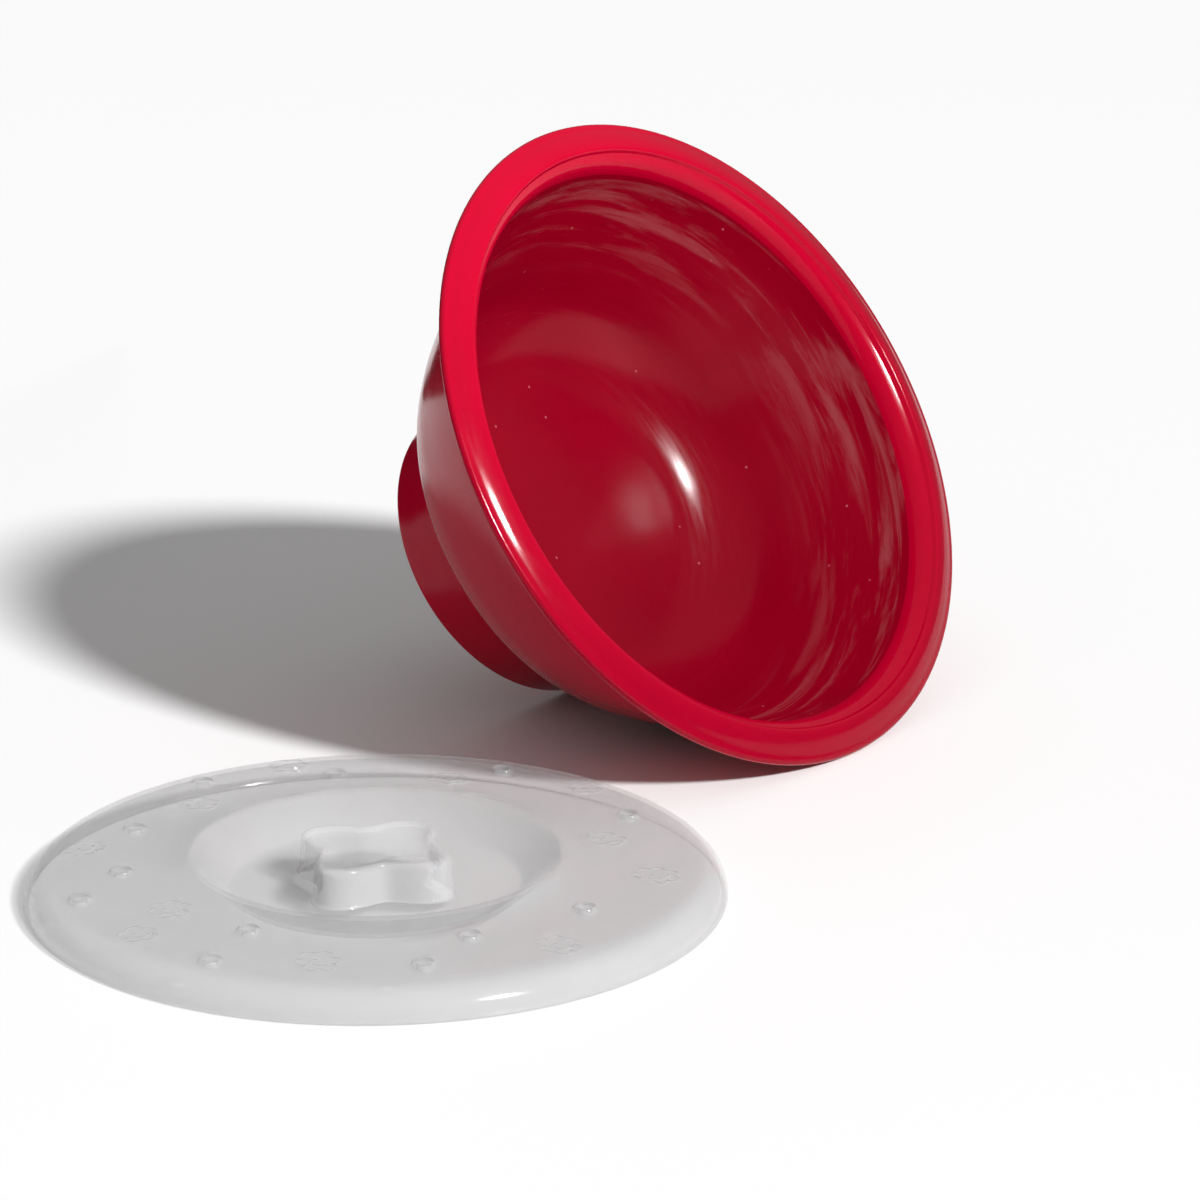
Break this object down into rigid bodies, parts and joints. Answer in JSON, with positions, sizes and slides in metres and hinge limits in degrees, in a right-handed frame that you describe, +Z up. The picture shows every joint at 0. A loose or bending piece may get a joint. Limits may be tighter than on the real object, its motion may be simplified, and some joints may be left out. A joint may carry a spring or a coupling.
{
  "type": "microwave popcorn maker",
  "caption": "Plastic microwave popcorn bowl with a round foot, tipped onto its side to pour, beside its loose translucent vented lid with a lobed grip.",
  "frame": {"origin": "on the table, below the centre of the box that holds the tipped bowl and the lid", "axes": "+Z up from the table; the bowl lies on the +X side with its mouth towards -Y, and the lid lies flat on the -X side"},
  "size_m": [0.52, 0.2969, 0.2399],
  "materials": {
    "bowl_red_gloss": "injection-moulded polypropylene, polished mould, saturated red",
    "foot_red_gloss": "injection-moulded polypropylene, polished mould, the same red",
    "lid_frosted": "thin natural polypropylene, milky and translucent, satin",
    "grip_clear": "natural polypropylene, clearer and glossier than the lid"
  },
  "bodies": {
    "bowl": {"bowl": "bowl_red_gloss", "foot_ring": "foot_red_gloss"},
    "lid": {"lid": "lid_frosted", "lid_grip": "grip_clear"}
  },
  "joints": [
    {"name": "lid_lift", "type": "slide", "parent": "bowl", "child": "lid", "axis": [-0.7071, 0, 0.7071], "range_m": [0, 0.2]}
  ]
}
